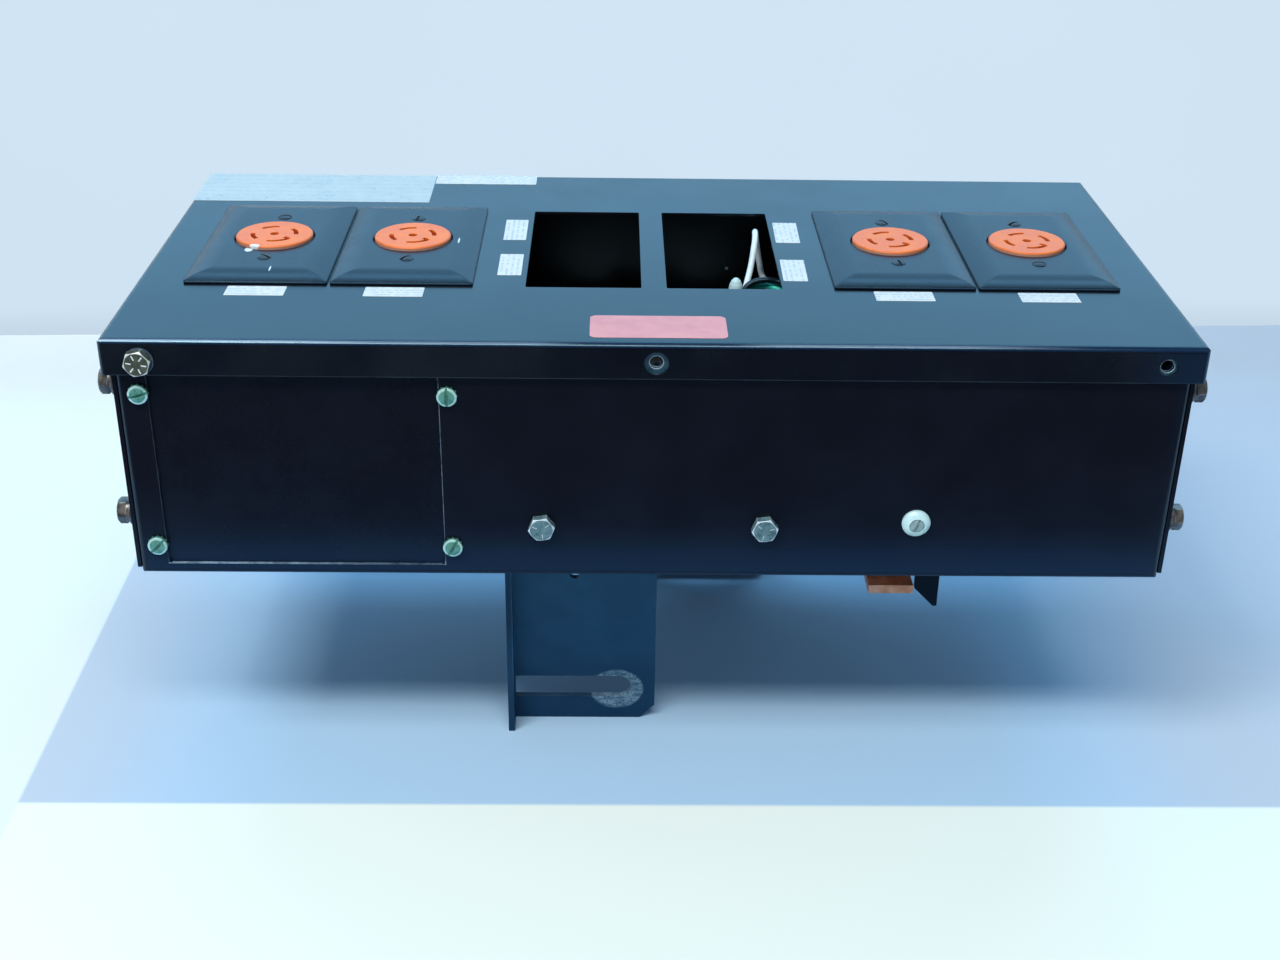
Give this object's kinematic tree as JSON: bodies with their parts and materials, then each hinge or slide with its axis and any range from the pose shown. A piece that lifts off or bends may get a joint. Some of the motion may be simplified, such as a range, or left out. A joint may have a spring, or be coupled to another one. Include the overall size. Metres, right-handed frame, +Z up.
{
  "type": "busway tap off box",
  "caption": "Plug-in tap-off box for overhead busway: black sheet-steel case with locking receptacles and breaker openings on its lift-off lid, and hanger brackets with copper stabs below.",
  "frame": {"origin": "centre of the bounding box at the level of the hanger brackets' feet", "axes": "+X to the right along the long side, +Y to the back, +Z up through the lid; the side with the access opening faces -Y"},
  "size_m": [0.5074, 0.2562, 0.2431],
  "materials": {
    "body_paint": "semi-gloss black powder coat",
    "lid_paint": "semi-gloss black powder coat",
    "plate_paint": "smooth black enamel",
    "zinc": "zinc plated steel",
    "cover_screw_zinc": "greenish passivated zinc plate",
    "copper": "bare copper bar",
    "brass": "plain brass",
    "moulded_black": "moulded thermoset",
    "orange_plastic": "orange nylon",
    "nylon": "natural white nylon",
    "white_insulation": "white wire insulation",
    "black_insulation": "black wire insulation",
    "green_insulation": "green wire insulation"
  },
  "bodies": {
    "case": {"case_floor": "body_paint", "case_bends": "body_paint", "case_front_wall": "body_paint", "case_back_wall": "body_paint", "left_end_flange": "body_paint", "right_end_flange": "body_paint", "left_end_plate": "body_paint", "right_end_plate": "body_paint", "access_cover": "body_paint", "access_cover_screws": "cover_screw_zinc", "access_cover_lock_washers": "cover_screw_zinc", "spare_clip_nuts": "zinc", "end_plate_bolts": "zinc", "end_plate_lock_washers": "zinc", "end_plate_flat_washers": "zinc", "hex_nuts": "zinc", "breaker_pan": "zinc", "breaker_pan_bolts": "zinc", "rail_stand": "zinc", "left_din_rail": "zinc", "right_din_rail": "zinc", "rail_screws": "zinc", "front_hanger_bracket": "body_paint", "rear_hanger_bracket": "body_paint", "hanger_bolts": "zinc", "stab_base": "moulded_black", "stab_base_screws": "zinc", "phase_stabs": "copper", "neutral_stab": "copper", "ground_stab": "copper", "ground_bushing": "nylon", "ground_spacer": "nylon", "ground_stab_screw": "zinc", "ground_stab_nut": "zinc", "guide_tab": "body_paint", "guide_tab_screws": "zinc"},
    "lid_assembly": {"lid": "lid_paint", "lid_skirt": "lid_paint", "lid_bolts": "zinc", "lid_bolt_clip_nuts": "zinc", "wall_plate_1": "plate_paint", "wall_plate_2": "plate_paint", "wall_plate_3": "plate_paint", "wall_plate_4": "plate_paint", "receptacle_face_1": "orange_plastic", "receptacle_face_2": "orange_plastic", "receptacle_face_3": "orange_plastic", "receptacle_face_4": "orange_plastic", "receptacle_body_1": "moulded_black", "receptacle_body_2": "moulded_black", "receptacle_body_3": "moulded_black", "receptacle_body_4": "moulded_black", "receptacle_straps": "zinc", "wall_plate_screws": "plate_paint", "strap_screws": "zinc", "terminal_screws": "brass", "neutral_leads": "white_insulation", "phase_lead": "black_insulation", "ground_lead": "green_insulation", "wire_connector": "nylon"}
  },
  "joints": [
    {"name": "lid_lift", "type": "slide", "parent": "case", "child": "lid_assembly", "axis": [0, 0, 1], "range_m": [0, 0.08]}
  ]
}
